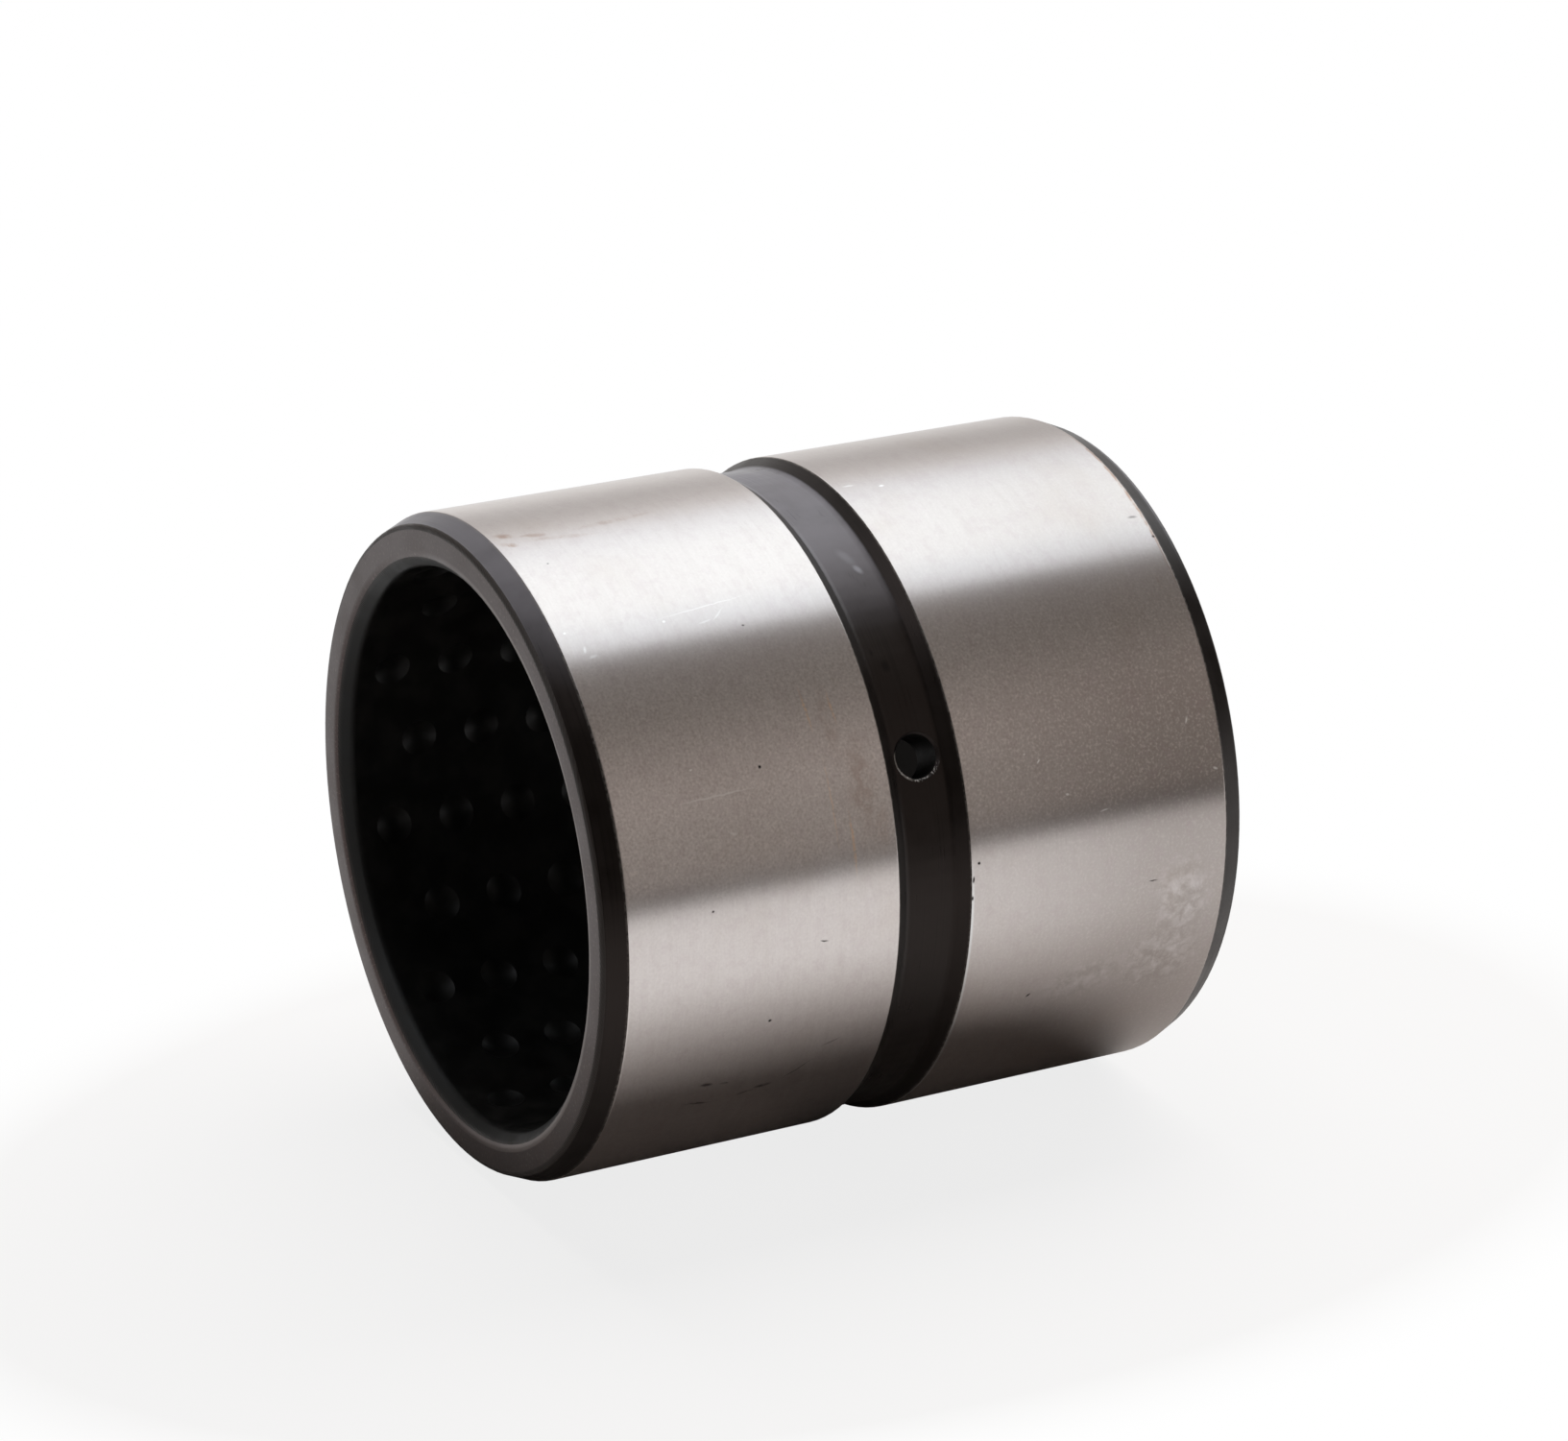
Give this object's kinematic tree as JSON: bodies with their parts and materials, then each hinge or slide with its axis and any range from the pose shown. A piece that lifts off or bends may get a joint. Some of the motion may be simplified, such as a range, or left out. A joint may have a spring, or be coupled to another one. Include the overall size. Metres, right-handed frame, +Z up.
{
  "type": "sleeve bushing",
  "caption": "Hardened steel sleeve bushing: a pin turns in its bore, greased from a groove round the outside through an oil hole into staggered pockets in the bore wall.",
  "frame": {"origin": "middle of the sleeve: on the bore axis, halfway between the end faces", "axes": "+Y along the bore axis, from the end that faces the camera in the picture to the far end; +Z up as the sleeve lies on its side; +X towards the oil hole's side, the hole pointing 25 degrees above +X"},
  "size_m": [0.095, 0.1, 0.095],
  "materials": {
    "ground_steel": "hardened steel, outside ground to a satin finish, groove and bore left dark"
  },
  "bodies": {
    "root": {"bushing_sleeve": "ground_steel"}
  },
  "joints": []
}
